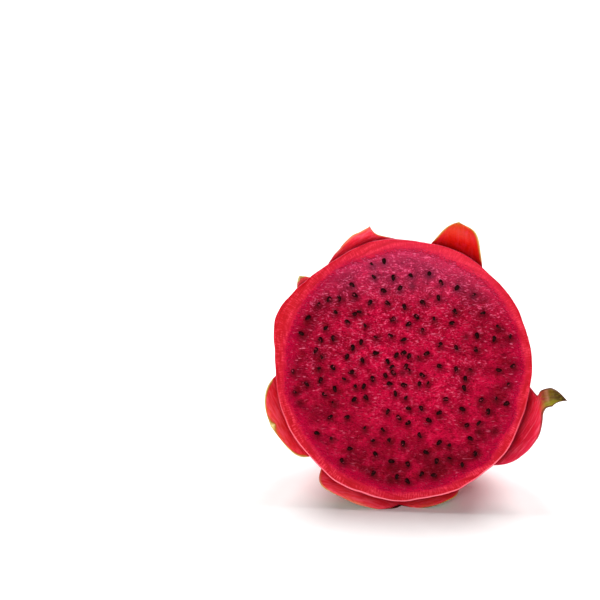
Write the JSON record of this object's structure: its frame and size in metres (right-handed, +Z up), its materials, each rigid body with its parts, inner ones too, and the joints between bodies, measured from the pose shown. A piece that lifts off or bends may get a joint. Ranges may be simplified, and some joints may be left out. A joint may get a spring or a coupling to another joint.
{
  "type": "cut dragon fruit half",
  "caption": "Half of a red-fleshed dragon fruit, cut across and resting on its side: a thin scaly peel round solid flesh with small dark seeds.",
  "frame": {"origin": "middle of the flat spot that the half rests on", "axes": "+Z up from the surface it rests on, -Y the way the cut face looks, +X to the right as the cut face is seen"},
  "size_m": [0.1052, 0.069, 0.0959],
  "materials": {
    "peel": "satin",
    "flesh": "gloss"
  },
  "bodies": {
    "root": {"peel": "peel", "flesh": "flesh"}
  },
  "joints": []
}
